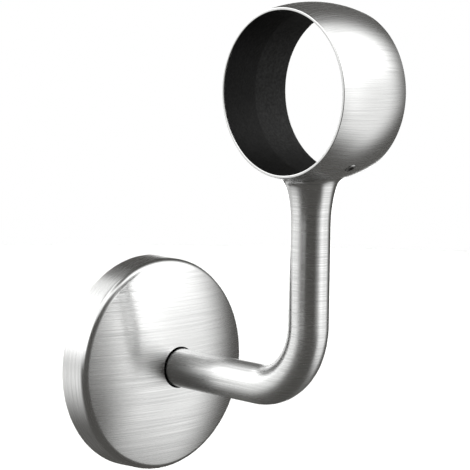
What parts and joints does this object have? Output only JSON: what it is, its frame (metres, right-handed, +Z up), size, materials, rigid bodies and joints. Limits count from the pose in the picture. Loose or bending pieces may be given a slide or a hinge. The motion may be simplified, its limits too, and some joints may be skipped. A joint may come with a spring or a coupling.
{
  "type": "handrail bracket",
  "caption": "Wall bracket that carries a round handrail in a bored ring on a bent round stem, with a domed cover rose over its fixing plate.",
  "frame": {"origin": "centre of the fixing plate's wall side, where the stem's level axis meets the wall", "axes": "+X along the rail, +Y into the wall, +Z up"},
  "size_m": [0.0592, 0.0847, 0.1286],
  "materials": {
    "brushed_metal": "satin brushed, with a dark as-cast bore",
    "rose_metal": "satin brushed",
    "plate_metal": "bright zinc plated, turned",
    "screw_metal": "bright zinc plated",
    "set_screw_metal": "plain turned stainless, with a dark hexagon socket"
  },
  "bodies": {
    "root": {"bracket_casting": "brushed_metal", "cover_rose": "rose_metal", "wall_plate": "plate_metal", "plate_screw": "screw_metal", "rail_set_screw": "set_screw_metal"}
  },
  "joints": []
}
